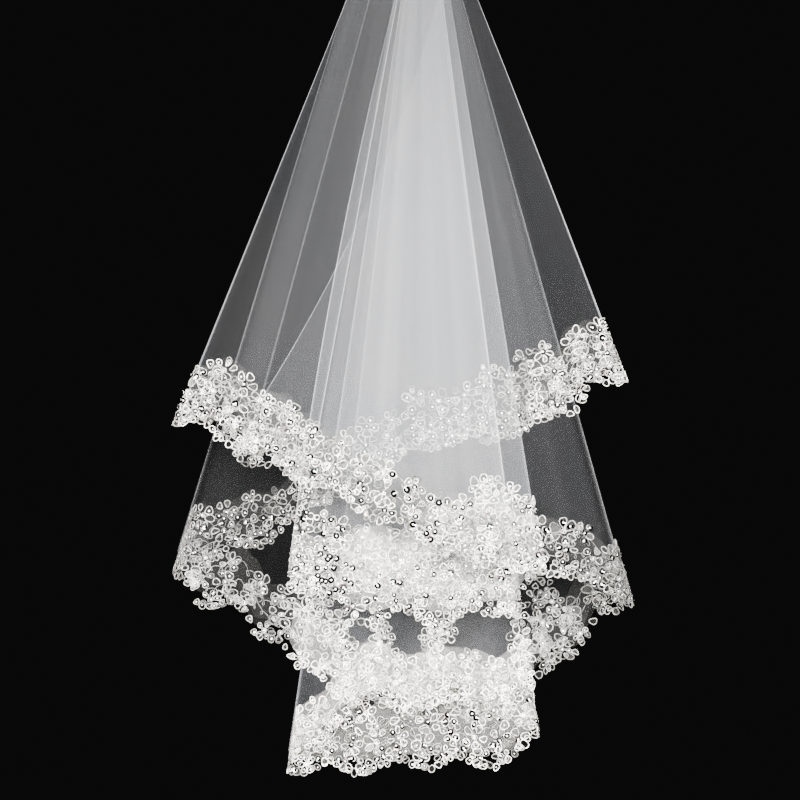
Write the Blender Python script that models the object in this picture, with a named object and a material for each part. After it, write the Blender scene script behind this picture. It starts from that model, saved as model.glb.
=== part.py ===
"""Bridal veil in two tiers of gathered tulle with a flower lace edging, hanging from its comb.

Metres, +Z up, the front faces -Y. The origin is the middle of the gathered top, where the comb
holds the veil. Lengths in the tables are millimetres. The cloth hangs in sheets, one behind the
other. Each sheet runs between two creases, which are lines from the gathers to the hem, and a
sheet turns into the next one round a crease.
"""

import math
from collections import namedtuple

import bpy
import numpy as np

MM = 0.001

# Driving sizes, in millimetres.
WALL = 1.1  # tulle and lace alike
SEAM = 0.3  # between neighbouring pieces
NECK = 12.0  # the gathered top, held straight by the band
LOW = 1000.0  # drop at which x_low and y_low of the tables are measured
LAYER_PITCH = 1.7  # between layers at the gathers
MIDDLE_LAYER = 5  # the layer at the origin's depth
FOLD_ROUND = 0.6  # a turn's half width over its half depth
BAND_OF_LACE = 74.0  # height of the edging between its lobes
TULLE_SHORT = 24.0  # the tulle ends this far above the lace's hem
FLOWER = 28.0  # pitch of the lace flowers along the hem
FLOWER_LOBE = 5.0  # a flower stands out of the edging by this
WAVE, WAVE_LOBE = 70.0, 6.0  # scallops of both edges
TURN_STEPS_WIDE, TURN_STEPS_TIGHT, TIGHT = 8, 4, 30.0  # a turn under TIGHT deep at LOW takes fewer steps

# Where a sheet turns, ends or is split between two nodes: x at the gathers and at LOW, and how
# far the line bows.
Crease = namedtuple("Crease", "x_top x_low bow")
CREASES = {
    "front_edge": Crease(-5, -183, 0),
    "front_left": Crease(-48, -442, 0),
    "front_right": Crease(41, 313, 0),
    "seam_right": Crease(33, 160, 0),
    "panel_left": Crease(-3, -151, 0),
    "panel_right": Crease(28, 154, 0),
    "seam_left": Crease(-10, -172, 0),
    "rear_left": Crease(-55, -361, 0),
    "rear_right": Crease(52, 430, 8),
    "rear_edge": Crease(40, -605, 110),
    "upper_left": Crease(-4, -159, -25),
    "upper_right": Crease(34, 192, 0),
    "inner_left": Crease(-2, -114, 0),
    "upper_back": Crease(24, 156, 0),
}

# A stretch of cloth between two creases. layer counts from the front at the gathers, y_start and
# y_end are its depth at LOW, bulge bends its middle, waves is how many flutes it hangs in and flute
# how deep they are at LOW, and hem holds (share of the way along, drop of the lace's hem).
Sheet = namedtuple("Sheet", "node start end layer y_start y_end bulge waves flute hem")
LOWER_TIER = (
    Sheet(
        "front", "front_edge", "front_left", 1, -118, -77, -6, 1, 0,
        ((0, 583), (0.55, 545), (1, 520)),
    ),
    Sheet(
        "front", "front_left", "front_right", 0, -95, -110, -55, 5, 8,
        (
            (0, 520), (0.08, 520), (0.16, 533), (0.2, 549), (0.27, 560), (0.44, 603),
            (0.64, 646), (0.74, 672), (0.84, 684), (0.92, 678), (1, 706),
        ),
    ),
    Sheet(
        "right", "front_right", "seam_right", 6, -12, -16, 0, 2, 3,
        ((0, 722), (0.18, 730), (0.29, 747), (0.41, 778), (0.84, 778), (0.93, 796), (1, 800)),
    ),
    Sheet(
        "lower", "seam_right", "panel_left", 6, -16, -22, 0, 1, 0,
        (
            (0, 800), (0.18, 844), (0.37, 816), (0.51, 843), (0.64, 818),
            (0.74, 828), (0.86, 846), (0.93, 880), (1, 896),
        ),
    ),
    Sheet(
        "lower", "panel_left", "panel_right", 7, -2, -2, 0, 2, 2,
        ((0, 896), (0.25, 900), (0.5, 893), (0.92, 890), (1, 864)),
    ),
    Sheet(
        "lower", "panel_right", "seam_left", 8, 18, 22, 0, 1, 0,
        (
            (0, 852), (0.19, 846), (0.36, 828), (0.5, 842), (0.61, 822),
            (0.72, 826), (0.86, 802), (0.95, 796), (1, 772),
        ),
    ),
    Sheet(
        "left", "seam_left", "rear_left", 8, 22, 30, 6, 3, 4,
        (
            (0, 772), (0.06, 755), (0.25, 757), (0.37, 757), (0.45, 723), (0.6, 720),
            (0.9, 722), (1, 690),
        ),
    ),
    Sheet(
        "rear", "rear_left", "rear_right", 9, 115, 125, 45, 5, 8,
        (
            (0, 676), (0.12, 664), (0.2, 627), (0.31, 592), (0.42, 556), (0.54, 543),
            (0.7, 537), (0.86, 507), (0.9, 484), (1, 475),
        ),
    ),
    Sheet(
        "rear", "rear_right", "rear_edge", 10, 143, 150, 42, 3, 3,
        (
            (0, 475), (0.12, 484), (0.2, 512), (0.36, 541), (0.52, 548),
            (0.58, 562), (0.66, 588), (0.75, 598), (0.85, 582), (1, 552),
        ),
    ),
)
UPPER_TIER = (
    Sheet(
        "upper", "upper_left", "upper_right", 2, -85, -85, -12, 3, 3,
        (
            (0, 695), (0.1, 700), (0.2, 716), (0.34, 736), (0.47, 724),
            (0.61, 738), (0.74, 724), (0.86, 722), (1, 680),
        ),
    ),
    Sheet(
        "upper", "upper_right", "inner_left", 3, -66, -66, -10, 2, 2,
        ((0, 680), (0.12, 664), (0.35, 662), (0.55, 676), (0.75, 698), (1, 700)),
    ),
    Sheet(
        "upper", "inner_left", "upper_back", 4, -47, -47, -8, 2, 2,
        ((0, 700), (0.5, 712), (1, 715)),
    ),
)

# Heights of the tulle's rows, as shares of the drop from NECK to the edging's top, and of the
# lace's inner rows, in millimetres above its hem. The lace is cut through between the first two
# inner rows and between the last two.
TULLE_ROWS = (0.0, 0.33, 0.67, 1.0)
LACE_ROWS = (14.0, 23.0, 38.0, 47.0)
CUT_ROWS = (1, 3)
LACE_SHARES = (0.0, 0.24, 0.62)  # columns of one flower's width, with the cut in the first
WIDE_ENOUGH = 20.0  # narrower cells stay whole

# The gathering band: its hollow, its wall, where it ends along X, its hollow's height above the
# gathers, and how far its lower edges stay above the flare.
BAND_HALF_DEPTH, BAND_WALL, BAND_LEFT, BAND_RIGHT = 9.4, 1.8, -59.0, 56.0
BAND_ROOM, BAND_SHORT, BAND_ROUND_STEPS = 0.6, 1.0, 6
COMB_WIDTH, COMB_BAR, COMB_THICK, COMB_TOP = 96.0, 7.0, 2.4, -2.0
TOOTH_COUNT, TOOTH_LENGTH, TOOTH_WIDTH, TOOTH_TIP, TOOTH_SLOPE = 18, 42.0, 2.4, 1.2, 0.14

MATERIALS = {
    "tulle": ((0.82, 0.83, 0.86), 0.7),
    "lace": ((0.86, 0.84, 0.79), 0.6),
    "band": ((0.84, 0.82, 0.78), 0.6),
    "comb": ((0.75, 0.74, 0.72), 0.35),
}

# One line of cloth from the gathers to the hem, and whether the cell before it belongs to another node.
Column = namedtuple("Column", "x_top x_low bow y_top y_low drop node")


def material(name):
    found = bpy.data.materials.get(name)
    if found:
        return found
    colour, roughness = MATERIALS[name]
    made = bpy.data.materials.new(name)
    made.use_nodes = True
    shader = made.node_tree.nodes["Principled BSDF"]
    shader.inputs["Base Color"].default_value = (*colour, 1)
    shader.inputs["Roughness"].default_value = roughness
    return made


def add_mesh(name, points, faces, finish):
    """An object from points in millimetres."""
    mesh = bpy.data.meshes.new(name)
    mesh.from_pydata([tuple(MM * c for c in p) for p in points], [], faces)
    mesh.materials.append(material(finish))
    mesh.validate()
    made = bpy.data.objects.new(name, mesh)
    bpy.context.collection.objects.link(made)
    return made


def between(table, share):
    """The value at a share of the way along a table of (share, value)."""
    return float(np.interp(share, [row[0] for row in table], [row[1] for row in table]))


def layer_depth(layer):
    return (layer - MIDDLE_LAYER) * LAYER_PITCH


def sheet_ends(tier, index):
    """A sheet's start and end as (x_top, x_low), drawn in from its creases by the turns there.

    The second value is the sheet's way along X.
    """
    sheet = tier[index]
    start, end = CREASES[sheet.start], CREASES[sheet.end]
    way = 1 if end.x_low > start.x_low else -1
    ends = []
    for crease, other, side in ((start, index - 1, -1), (end, index + 1, 1)):
        inset_top = inset_low = 0.0
        if 0 <= other < len(tier) and tier[other].layer != sheet.layer:
            inset_top, inset_low = turn_size(tier[min(index, other)], tier[max(index, other)])
        ends.append((crease.x_top - side * way * inset_top, crease.x_low - side * way * inset_low))
    return ends, way


def turn_size(first, second):
    """Half width of the turn between two sheets, at the gathers and at LOW."""
    top = abs(layer_depth(first.layer) - layer_depth(second.layer)) / 2
    low = abs(first.y_end - second.y_start) / 2
    return FOLD_ROUND * top, FOLD_ROUND * low


def sheet_depth(sheet, share):
    """A sheet's depth at LOW: straight between its ends, bulged, and fluted away from its ends."""
    middle = 4 * share * (1 - share)
    straight = sheet.y_start + (sheet.y_end - sheet.y_start) * share
    flutes = sheet.flute * math.sqrt(middle) * math.sin(math.tau * sheet.waves * share)
    return straight + sheet.bulge * middle + flutes


def sheet_columns(tier, index):
    sheet = tier[index]
    (start, end), _ = sheet_ends(tier, index)
    bows = CREASES[sheet.start].bow, CREASES[sheet.end].bow
    drop = between(sheet.hem, 0.5)
    width = abs((end[0] - start[0]) + (end[1] - start[1] - end[0] + start[0]) * drop / LOW)
    count = max(3, round(width / FLOWER))
    columns = []
    for share in np.linspace(0, 1, count + 1):
        columns.append(
            Column(
                start[0] + (end[0] - start[0]) * share,
                start[1] + (end[1] - start[1]) * share,
                bows[0] + (bows[1] - bows[0]) * share,
                layer_depth(sheet.layer),
                sheet_depth(sheet, share),
                between(sheet.hem, share),
                sheet.node,
            )
        )
    return columns


def turn_columns(tier, index):
    """The columns round the crease between this sheet and the next one, without its two ends."""
    first, second = tier[index], tier[index + 1]
    crease, way = CREASES[first.end], sheet_ends(tier, index)[1]
    half_top, half_low = turn_size(first, second)
    tops = layer_depth(first.layer), layer_depth(second.layer)
    lows = first.y_end, second.y_start
    drops = between(first.hem, 1), between(second.hem, 0)
    steps = TURN_STEPS_TIGHT if abs(lows[1] - lows[0]) < TIGHT else TURN_STEPS_WIDE
    columns = []
    for step in range(1, steps):
        angle = math.pi * (step / steps - 0.5)
        out, along = way * (math.cos(angle) - 1), math.sin(angle)
        columns.append(
            Column(
                crease.x_top + out * half_top,
                crease.x_low + out * half_low,
                crease.bow,
                (tops[0] + tops[1]) / 2 + along * (tops[1] - tops[0]) / 2,
                (lows[0] + lows[1]) / 2 + along * (lows[1] - lows[0]) / 2,
                drops[0] + (drops[1] - drops[0]) * step / steps,
                second.node,
            )
        )
    return columns


def tier_columns(tier):
    """Every column of a tier, from one cut end of the cloth to the other."""
    columns = []
    for index, sheet in enumerate(tier):
        made = sheet_columns(tier, index)
        seam = index and tier[index - 1].layer == sheet.layer
        columns += made[1:] if seam else made
        if index + 1 < len(tier) and tier[index + 1].layer != sheet.layer:
            columns += turn_columns(tier, index)
    return columns


def place(column, drop):
    """Where a column is at a drop below the gathers."""
    t = max(0.0, (drop - NECK) / (LOW - NECK))
    x = column.x_top + (column.x_low - column.x_top) * t + column.bow * 4 * t * (1 - t)
    return np.array([x, column.y_top + (column.y_low - column.y_top) * t, -drop])


def blend(first, second, share):
    """The column between two others."""
    values = [a + (b - a) * share for a, b in zip(first[:6], second[:6], strict=True)]
    return Column(*values, second.node)


def out_from(columns, index, drop):
    """The level direction off the cloth's face, as long as keeps the wall even round a bend."""
    here = place(columns[index], drop)[:2]
    ways = []
    for other in (index - 1, index + 1):
        if 0 <= other < len(columns):
            way = (place(columns[other], drop)[:2] - here) * (other - index)
            ways.append(way / np.linalg.norm(way))
    mean = sum(ways) / len(ways)
    length = np.linalg.norm(mean)
    return np.array([mean[1], -mean[0], 0.0]) / max(length * length, 0.5)


def wall(name, columns, rows_of, offset, finish, is_cut):
    """A wall through the columns.

    rows_of gives a column's drops, top to bottom, offset is the middle of the wall off the cloth's
    own middle, and is_cut tells which cells are open.
    """
    outer, inner = [], []
    for index in range(len(columns)):
        rows = []
        for drop in rows_of(index):
            rows.append((place(columns[index], drop), out_from(columns, index, drop)))
        outer.append([p + n * (offset + WALL / 2) for p, n in rows])
        inner.append([p + n * (offset - WALL / 2) for p, n in rows])
    count, height = len(outer), len(outer[0])
    kept = {(i, j) for i in range(count - 1) for j in range(height - 1) if not is_cut(i, j)}
    points, numbers = [], {}

    def at(side, i, j):
        if (side, i, j) not in numbers:
            numbers[side, i, j] = len(points)
            points.append((outer, inner)[side][i][j])
        return numbers[side, i, j]

    faces = []
    for i, j in sorted(kept):
        ring = ((i, j), (i, j + 1), (i + 1, j + 1), (i + 1, j))
        faces.append([at(0, *corner) for corner in ring])
        faces.append([at(1, *corner) for corner in reversed(ring)])
        beside = ((i - 1, j), (i, j + 1), (i + 1, j), (i, j - 1))
        for k, cell in enumerate(beside):
            if cell not in kept:
                a, b = ring[k], ring[(k + 1) % 4]
                faces.append([at(0, *b), at(0, *a), at(1, *a), at(1, *b)])
    return add_mesh(name, points, faces, finish)


def hem_lengths(columns):
    """How far along the hem each column is."""
    ends = [place(column, column.drop) for column in columns]
    steps = [0.0] + [float(np.linalg.norm(b - a)) for a, b in zip(ends, ends[1:])]
    return np.cumsum(steps)


def lobe(along, phase):
    """How far the edging's outline stands out of its middle line at this place along the hem."""
    flower = abs(math.sin(math.pi * (along / FLOWER + phase))) - 2 / math.pi
    return FLOWER_LOBE * flower + WAVE_LOBE * math.sin(math.tau * (along / WAVE + phase))


def lace_columns(columns):
    """The tulle's columns with more between them, and the numbers of the cells that are cut."""
    made, cut = [], set()
    for first, second in zip(columns, columns[1:]):
        width = np.linalg.norm(place(first, first.drop) - place(second, second.drop))
        if width < WIDE_ENOUGH:
            made.append(first)
            continue
        cut.add(len(made) + 1)
        made += [blend(first, second, share) for share in (0.0, *LACE_SHARES[1:])]
    return made + [columns[-1]], cut


def split(columns):
    """The tier's columns as one run for each node.

    They are cut apart in the middle of a cell, so that both edges face alike.
    """
    runs = [[columns[0]]]
    for last, column in zip(columns, columns[1:]):
        if column.node != last.node:
            width = np.linalg.norm(place(column, column.drop) - place(last, last.drop))
            half = min(0.2, SEAM / 2 / width)
            runs[-1].append(blend(last, column, 0.5 - half)._replace(node=last.node))
            runs.append([blend(last, column, 0.5 + half)])
        runs[-1].append(column)
    return runs


def add_tier(tier):
    for columns in split(tier_columns(tier)):
        node = columns[-1].node

        def tulle_rows(index, columns=columns):
            top = columns[index].drop - BAND_OF_LACE
            rows = [0.0] + [NECK + (top - NECK) * share for share in TULLE_ROWS]
            return rows + [columns[index].drop - TULLE_SHORT]

        wall(f"tulle_{node}", columns, tulle_rows, 0.0, "tulle", lambda i, j: False)
        finer, cut = lace_columns(columns)
        along = hem_lengths(finer)

        def lace_rows(index, finer=finer, along=along):
            hem = finer[index].drop
            top = hem - BAND_OF_LACE - lobe(along[index], 0.5)
            inner = [hem - above for above in reversed(LACE_ROWS)]
            return [top, *inner, hem + lobe(along[index], 0.0)]

        def is_cut(i, j, cut=cut):
            return i in cut and j in CUT_ROWS

        wall(f"lace_{node}", finer, lace_rows, WALL + SEAM, "lace", is_cut)


def add_band():
    """The binding over the gathered tops, a strip folded into an upturned U."""
    outer_half, base = BAND_HALF_DEPTH + BAND_WALL, BAND_SHORT - NECK
    section = [(BAND_HALF_DEPTH, base), (BAND_HALF_DEPTH, BAND_ROOM)]
    section += [(-BAND_HALF_DEPTH, BAND_ROOM), (-BAND_HALF_DEPTH, base), (-outer_half, base)]
    for step in range(BAND_ROUND_STEPS + 1):
        angle = math.pi * (1 - step / BAND_ROUND_STEPS)
        section.append((outer_half * math.cos(angle), BAND_ROOM + SEAM + BAND_WALL * math.sin(angle)))
    section.append((outer_half, base))
    count = len(section)
    points = [(x, y, z) for x in (BAND_LEFT, BAND_RIGHT) for y, z in section]
    sides = [[i, count + i, count + (i + 1) % count, (i + 1) % count] for i in range(count)]
    ends = [list(range(count)), list(range(count, 2 * count))[::-1]]
    add_mesh("gather_band", points, sides + ends, "band")


def add_comb():
    """A plain comb behind the band, its teeth leaning back off the cloth."""
    near = BAND_HALF_DEPTH + BAND_WALL + SEAM
    left = (BAND_LEFT + BAND_RIGHT - COMB_WIDTH) / 2
    pitch = (COMB_WIDTH - TOOTH_WIDTH) / (TOOTH_COUNT - 1)
    root, tip = COMB_TOP - COMB_BAR, COMB_TOP - COMB_BAR - TOOTH_LENGTH
    outline = [(left, COMB_TOP), (left, root)]
    for tooth in range(TOOTH_COUNT):
        x = left + tooth * pitch
        taper = (TOOTH_WIDTH - TOOTH_TIP) / 2
        outline += [(x, root)] * (tooth > 0)
        outline += [(x + taper, tip), (x + TOOTH_WIDTH - taper, tip)]
        outline += [(x + TOOTH_WIDTH, root)]
    outline.append((left + COMB_WIDTH, COMB_TOP))
    count = len(outline)
    points = []
    for depth in (0.0, COMB_THICK):
        for x, z in outline:
            points.append((x, near + depth + TOOTH_SLOPE * max(0.0, root - z), z))
    sides = [[i, count + i, count + (i + 1) % count, (i + 1) % count] for i in range(count)]
    faces = comb_face(count)
    flats = faces + [[count + i for i in reversed(face)] for face in faces]
    add_mesh("comb", points, sides + flats, "comb")


def comb_face(count):
    """The bar and the teeth of the comb's flat side, as polygons of the outline's numbers."""
    roots = [i for i in range(1, count - 1) if (i - 1) % 4 in (0, 3)]
    bar = [0, *roots, count - 1]
    teeth = [[i, i + 1, i + 2, i + 3] for i in range(1, count - 1, 4)]
    return [bar] + teeth


def main():
    for old in list(bpy.data.objects):
        bpy.data.objects.remove(old)
    add_tier(LOWER_TIER)
    add_tier(UPPER_TIER)
    add_band()
    add_comb()


main()
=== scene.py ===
"""Bridal veil: see-through tulle, corded flower lace, sequins, bound gathers and comb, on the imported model.

The cloth's tables are in millimetres, as in the part's own source. Everything in Blender is in metres.
"""

import math
from collections import namedtuple

import bpy
import numpy as np
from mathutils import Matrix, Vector


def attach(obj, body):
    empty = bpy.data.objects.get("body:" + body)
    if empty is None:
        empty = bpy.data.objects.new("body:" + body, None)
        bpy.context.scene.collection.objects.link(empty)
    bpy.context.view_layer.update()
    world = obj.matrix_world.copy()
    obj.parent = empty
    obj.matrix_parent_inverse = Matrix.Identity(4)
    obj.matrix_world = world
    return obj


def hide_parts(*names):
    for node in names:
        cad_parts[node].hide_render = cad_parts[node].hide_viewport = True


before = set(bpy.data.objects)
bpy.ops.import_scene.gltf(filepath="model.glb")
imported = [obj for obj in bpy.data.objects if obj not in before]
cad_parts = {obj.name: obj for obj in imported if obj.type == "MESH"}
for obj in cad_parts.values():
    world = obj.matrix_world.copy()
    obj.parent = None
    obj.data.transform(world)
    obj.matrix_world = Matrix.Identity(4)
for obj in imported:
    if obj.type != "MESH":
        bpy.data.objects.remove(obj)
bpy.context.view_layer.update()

MM = 0.001
rng = np.random.default_rng(11)

# Driving sizes of the cloth, the same as the solids'.
NECK = 12.0  # the gathered top, held straight by the band
LOW = 1000.0  # drop at which x_low and y_low of the tables are measured
LAYER_PITCH = 1.7  # between layers at the gathers
MIDDLE_LAYER = 5  # the layer at the origin's depth
FOLD_ROUND = 0.6  # a turn's half width over its half depth
WAVE, WAVE_LOBE = 70.0, 6.0  # scallops of both edges of the lace
# How far above the lace's hem the net ends, 2 mm below its solid, and how far the lace's ground lies off it.
TULLE_SHORT, LACE_OUT = 22.0, 0.7

# Where a sheet turns or ends: x at the gathers and at LOW, and how far the line bows.
Crease = namedtuple("Crease", "x_top x_low bow")
CREASES = {
    "front_edge": Crease(-5, -183, 0),
    "front_left": Crease(-48, -442, 0),
    "front_right": Crease(41, 313, 0),
    "seam_right": Crease(33, 160, 0),
    "panel_left": Crease(-3, -151, 0),
    "panel_right": Crease(28, 154, 0),
    "seam_left": Crease(-10, -172, 0),
    "rear_left": Crease(-55, -361, 0),
    "rear_right": Crease(52, 430, 8),
    "rear_edge": Crease(40, -605, 110),
    "upper_left": Crease(-4, -159, -25),
    "upper_right": Crease(34, 192, 0),
    "inner_left": Crease(-2, -114, 0),
    "upper_back": Crease(24, 156, 0),
}

# A stretch of cloth between two creases, as in the solids: its layer at the gathers, its depths at LOW at its
# start and end, how far its middle bulges, how many flutes it has and how deep, veil, the share of the light
# that one layer of it stops, and its hem, as (share of the way along, drop).
Sheet = namedtuple("Sheet", "node start end layer y_start y_end bulge waves flute veil hem")
LOWER_TIER = (
    Sheet(
        "front", "front_edge", "front_left", 1, -118, -77, -6, 1, 0, 0.0145,
        ((0, 583), (0.55, 545), (1, 520)),
    ),
    Sheet(
        "front", "front_left", "front_right", 0, -95, -110, -55, 5, 8, 0.0155,
        (
            (0, 520), (0.08, 520), (0.16, 533), (0.2, 549), (0.27, 560), (0.44, 603),
            (0.64, 646), (0.74, 672), (0.84, 684), (0.92, 678), (1, 706),
        ),
    ),
    Sheet(
        "right", "front_right", "seam_right", 6, -12, -16, 0, 2, 3, 0.017,
        ((0, 722), (0.18, 730), (0.29, 747), (0.41, 778), (0.84, 778), (0.93, 796), (1, 800)),
    ),
    Sheet(
        "lower", "seam_right", "panel_left", 6, -16, -22, 0, 1, 0, 0.018,
        (
            (0, 800), (0.18, 844), (0.37, 816), (0.51, 843), (0.64, 818),
            (0.74, 828), (0.86, 846), (0.93, 880), (1, 896),
        ),
    ),
    Sheet(
        "lower", "panel_left", "panel_right", 7, -2, -2, 0, 2, 2, 0.023,
        ((0, 896), (0.25, 900), (0.5, 893), (0.92, 890), (1, 864)),
    ),
    Sheet(
        "lower", "panel_right", "seam_left", 8, 18, 22, 0, 1, 0, 0.039,
        (
            (0, 852), (0.19, 846), (0.36, 828), (0.5, 842), (0.61, 822),
            (0.72, 826), (0.86, 802), (0.95, 796), (1, 772),
        ),
    ),
    Sheet(
        "left", "seam_left", "rear_left", 8, 22, 30, 6, 3, 4, 0.0118,
        (
            (0, 772), (0.06, 755), (0.25, 757), (0.37, 757), (0.45, 723), (0.6, 720),
            (0.9, 722), (1, 690),
        ),
    ),
    Sheet(
        "rear", "rear_left", "rear_right", 9, 115, 125, 45, 5, 8, 0.0105,
        (
            (0, 676), (0.12, 664), (0.2, 627), (0.31, 592), (0.42, 556), (0.54, 543),
            (0.7, 537), (0.86, 507), (0.9, 484), (1, 475),
        ),
    ),
    Sheet(
        "rear", "rear_right", "rear_edge", 10, 143, 150, 42, 3, 3, 0.019,
        (
            (0, 475), (0.12, 484), (0.2, 512), (0.36, 541), (0.52, 548),
            (0.58, 562), (0.66, 588), (0.75, 598), (0.85, 582), (1, 552),
        ),
    ),
)
UPPER_TIER = (
    Sheet(
        "upper", "upper_left", "upper_right", 2, -85, -85, -12, 3, 3, 0.05,
        (
            (0, 695), (0.1, 700), (0.2, 716), (0.34, 736), (0.47, 724), (0.61, 738),
            (0.74, 724), (0.86, 722), (1, 680),
        ),
    ),
    Sheet(
        "upper", "upper_right", "inner_left", 3, -66, -66, -10, 2, 2, 0.032,
        ((0, 680), (0.12, 664), (0.35, 662), (0.55, 676), (0.75, 698), (1, 700)),
    ),
    Sheet(
        "upper", "inner_left", "upper_back", 4, -47, -47, -8, 2, 2, 0.005,
        ((0, 700), (0.5, 712), (1, 715)),
    ),
)
NODES = ("front", "right", "lower", "left", "rear", "upper")
# Pressed lines between creases, by their sheet's node and start: the share of the way along, and the veil.
PRESSED = {("front", "front_left"): (0.2, 0.05)}

# How finely the cloth is drawn, and its small shapes.
COLUMN_STEP, LEAST_COLUMNS = 4.0, 4
TURN_STEPS = 14
TULLE_ROWS, ROW_CROWDING = 30, 1.15  # the rows are a little closer together at the gathers
HEM_SMOOTHING = 6.5
RIPPLE, RIPPLE_LENGTHS = 1.3, (57.0, 83.0, 131.0)
STREAK, STREAK_LENGTHS = 0.05, (19.0, 37.0, 61.0, 97.0)
# The fine pleats at the gathers: how deep, how soon they fade, their pitch, and their share of the veil.
GATHER_DEPTH, GATHER_FADE, GATHER_PITCH, GATHER_VEIL = 0.35, 45.0, 9.0, 0.25
# The upper tier stops only GATHER_SHARE of its light down to GATHER_TOP, and all of it GATHER_SPREAD lower.
GATHER_SHARE, GATHER_TOP, GATHER_SPREAD = 0.45, 60.0, 230.0
# The line of a fold or cut edge: its width, the light that it stops, and its columns, in widths from it.
LINE_WIDTH, CREASE_VEIL, EDGE_VEIL = 1.3, 0.15, 0.17
LINE_COLUMNS = (-2.6, -1.8, -1.2, -0.8, -0.4, 0, 0.4, 0.8, 1.2, 1.8, 2.6)
TURN_SPREAD = 0.7  # how fast a fold's line fades round the turn, beside a line on a flat sheet
# The rear cut edge's line shows below this drop only: above it the edge lies flat behind the other layers.
REAR_EDGE_SHOWS, REAR_EDGE_FADE, REAR_EDGE_WIDTH = 350.0, 60.0, 8.0
# How far apart the points are that give the cloth's directions, and the least that these may come to.
FACE_STEP, MOVE_STEP, LEAST_STRETCH, TINY = 0.6, 1.0, 0.2, 1e-6

# The rows of flowers in every stretch of lace, as (height of their middles above the hem, pitch, radius).
FLOWER_ROWS = ((13.0, 21.0, 11.5), (31.0, 28.0, 13.8), (52.0, 28.0, 13.8))
# Where the edging is lapped it reaches higher: more rows, as (height, first and last share of the stretch).
LAPPED_ROWS = {
    "right": (
        (22.0, 0.7, 1.0), (42.0, 0.7, 1.0), (64.0, 0.76, 1.0), (82.0, 0.78, 1.0), (100.0, 0.83, 1.0),
    ),
    "lower": (
        (22.0, 0.0, 0.04), (42.0, 0.0, 0.04), (64.0, 0.0, 0.03), (82.0, 0.0, 0.025), (100.0, 0.0, 0.03),
        (75.0, 0.1, 0.14), (75.0, 0.185, 0.218), (75.0, 0.242, 0.268), (92.0, 0.245, 0.268),
        (73.0, 0.4, 0.66), (86.0, 0.39, 0.62), (75.0, 0.785, 0.825), (75.0, 0.87, 0.905),
        (64.0, 0.925, 1.0), (80.0, 0.93, 1.0), (96.0, 0.94, 1.0),
    ),
    "rear": ((72.0, 0.4, 0.49),),
    "upper": (
        (22.0, 0.0, 0.09), (42.0, 0.0, 0.09), (64.0, 0.0, 0.09), (78.0, 0.0, 0.09), (72.0, 0.36, 0.5),
    ),
}
LAPPED_PITCH, LAPPED_RADIUS = 22.0, 13.0
FLOWER_SIZES = (0.84, 1.1)
FLOWER_INSIDE = 0.75  # a flower's middle stays this share of its radius inside its stretch
# How far a flower strays. In rows under LOW_ROW radii high it strays only LOW_STRAY of that up or down.
FLOWER_STRAY, LOW_ROW, LOW_STRAY = 3.0, 1.5, 0.4
# A flower's petals: how many, their sizes, how far they turn aside, their half widths as shares of the room
# between them, and their half lengths as shares of the flower's radius.
PETAL_COUNTS, PETAL_SIZES, PETAL_TURN = (5, 6), (0.8, 1.2), 0.25
PETAL_WIDTHS, PETAL_LENGTHS = (0.48, 0.74), (0.3, 0.4)
PETAL_LIFT, PETAL_OVER = 0.4, 0.5  # how far off the ground, and how much further for every other petal
# The petals' net fillings: the light that they stop, the share of the petals with each, and their lift.
PETAL_VEILS, PETAL_CHANCES, FILLING_LIFT = (0.006, 0.018, 0.045, 0.14), (0.45, 0.33, 0.19, 0.03), 0.1
# Some petals have a smaller loop inside: the share that do, its size, and how far over and back it lies.
INNER_CHANCE, INNER_SIZES, INNER_OVER, INNER_BACK = 0.14, (0.5, 0.65), 0.2, 0.15
# The ring in a flower's middle: how many hold a sequin and not a dot, its radius, lift and veil.
MIDDLE_SEQUIN, MIDDLE_RADIUS, MIDDLE_LIFT, MIDDLE_VEIL = 0.7, 2.8, 1.2, 0.1
# How uneven a loop is, in two and in three waves round it, and how much it tapers to its inner end.
LOOP_WOBBLES, LOOP_TAPER = (0.1, 0.09), 0.2
CORD_RADIUS, CORD_SIDES, LOOP_POINTS = 0.9, 3, 14
# Rings of cord bunched along the hem, and rows of curls, as (height, radius), which swell and drift.
RING_PITCH, RING_HEIGHT, RING_STRAY, RING_SIZES, RING_LIFTS = 7.0, 5.0, 2.6, (3.2, 4.6), (0.2, 1.0)
CURL_ROWS = ((25.0, 3.4), (45.0, 3.4))
CURL_RADIUS, CURL_PITCH, CURL_POINTS, CURL_REACH, CURL_LIFT, CURL_INSIDE = 0.55, 10.0, 11, 1.1, 0.5, 1.0
CURL_SWELL, CURL_DRIFTS = (0.25, 1.9), ((3.5, 0.83), (2.0, 2.7))  # how much and how fast
# The curls' whiteness is cut by painted shade, which sets them back behind the loops.
LOOP_DULL, CURL_SHADE = (-0.3, 0.78), 0.45  # how much less white a loop is, at random, and the curls
# The net that the flowers are sewn to: from and to which height, and how far it arches up behind a flower.
GROUND_LOW, GROUND_TOP, GROUND_ARCH = 14.0, 62.0, 3.0
GROUND_STEP, LEAST_STEPS, GROUND_ROWS = 5.0, 3, 12
GROUND_VEIL, GROUND_VEILS = 0.016, {"lower": 0.085, "upper": 0.11}  # two stretches have a closer net
# The ground is higher on the lowest panel: by this much, from and to which share of the lower stretch.
PANEL_RISE, PANEL_FIRST, PANEL_LAST = 14.0, 0.37, 0.68
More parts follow.
